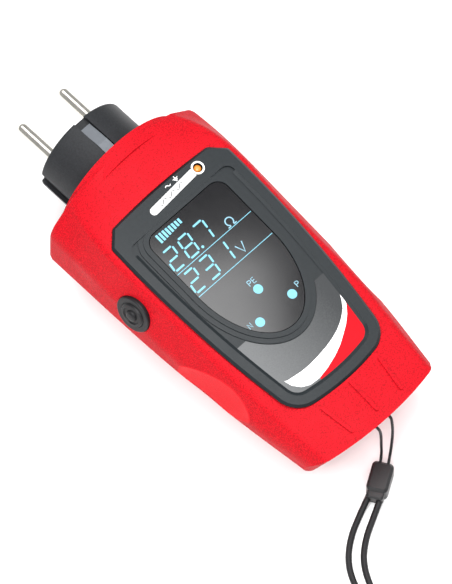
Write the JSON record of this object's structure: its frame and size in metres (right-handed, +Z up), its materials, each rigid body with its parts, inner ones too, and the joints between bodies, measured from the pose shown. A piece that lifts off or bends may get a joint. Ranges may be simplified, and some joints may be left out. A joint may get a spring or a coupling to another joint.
{
  "type": "plug-in outlet tester",
  "caption": "Hand-held mains outlet tester with a round-pin earthed plug on its end, a sloping display face, a side push button and a wrist strap.",
  "frame": {"origin": "on the ground under the middle of the tester's box, cord pieces left out", "axes": "+Z up with the tester lying on its back, +Y out along the plug pins, +X to the right seen from above with the pins pointing away"},
  "size_m": [0.1058, 0.2194, 0.0555],
  "materials": {
    "case_red": "fine sparkle texture",
    "plug_black": "satin",
    "bezel_black": "satin gloss",
    "window_glass": "smoked clear",
    "label_grey": "printed film",
    "lcd_glass": "dark display glass",
    "white_plastic": "moulded",
    "led_amber": "clear tinted",
    "board_green": "solder mask",
    "part_black": "moulded",
    "ceramic_white": "cement",
    "can_aluminium": "satin",
    "fuse_glass": "clear",
    "lead_brown": "pvc",
    "lead_blue": "pvc",
    "lead_green": "pvc",
    "screw_steel": "zinc plated",
    "pin_nickel": "bright nickel plate",
    "clip_steel": "satin",
    "socket_brass": "turned",
    "button_rubber": "satin",
    "cord_black": "braided",
    "block_black": "moulded"
  },
  "bodies": {
    "case": {"backlight_panel": "white_plastic", "bezel": "bezel_black", "board_header": "part_black", "board_screws": "screw_steel", "button_ring": "button_rubber", "buzzer": "part_black", "case_screws": "screw_steel", "display_board": "board_green", "display_screws": "screw_steel", "display_window": "window_glass", "earth_clip_bottom": "clip_steel", "earth_clip_top": "clip_steel", "earth_lead": "lead_green", "earth_socket": "socket_brass", "eyelet_cord": "cord_black", "face_label": "label_grey", "front_shell": "case_red", "fuse": "fuse_glass", "fuse_clips": "clip_steel", "lcd_frame": "white_plastic", "lcd_panel": "lcd_glass", "live_lead": "lead_brown", "load_resistors": "ceramic_white", "main_board": "board_green", "mains_led": "led_amber", "microcontroller": "part_black", "neutral_lead": "lead_blue", "pin_left": "pin_nickel", "pin_right": "pin_nickel", "plug_body": "plug_black", "push_switch": "part_black", "rating_label": "label_grey", "rear_shell": "case_red", "relay": "part_black", "reservoir_capacitors": "can_aluminium", "strap_block": "block_black", "switch_board": "board_green", "switch_bracket": "white_plastic", "terminal_plate": "plug_black", "transformer": "part_black", "wrist_coil": "cord_black", "wrist_cord": "cord_black"},
    "button": {"button_cap": "button_rubber", "button_plunger": "white_plastic", "switch_stem": "white_plastic"}
  },
  "joints": [
    {"name": "test_button", "type": "slide", "parent": "case", "child": "button", "axis": [0.9641, 0.059, -0.2588], "range_m": [0, 0.0012], "stiffness_N_per_m": 1500, "springref_m": -0.0005}
  ]
}
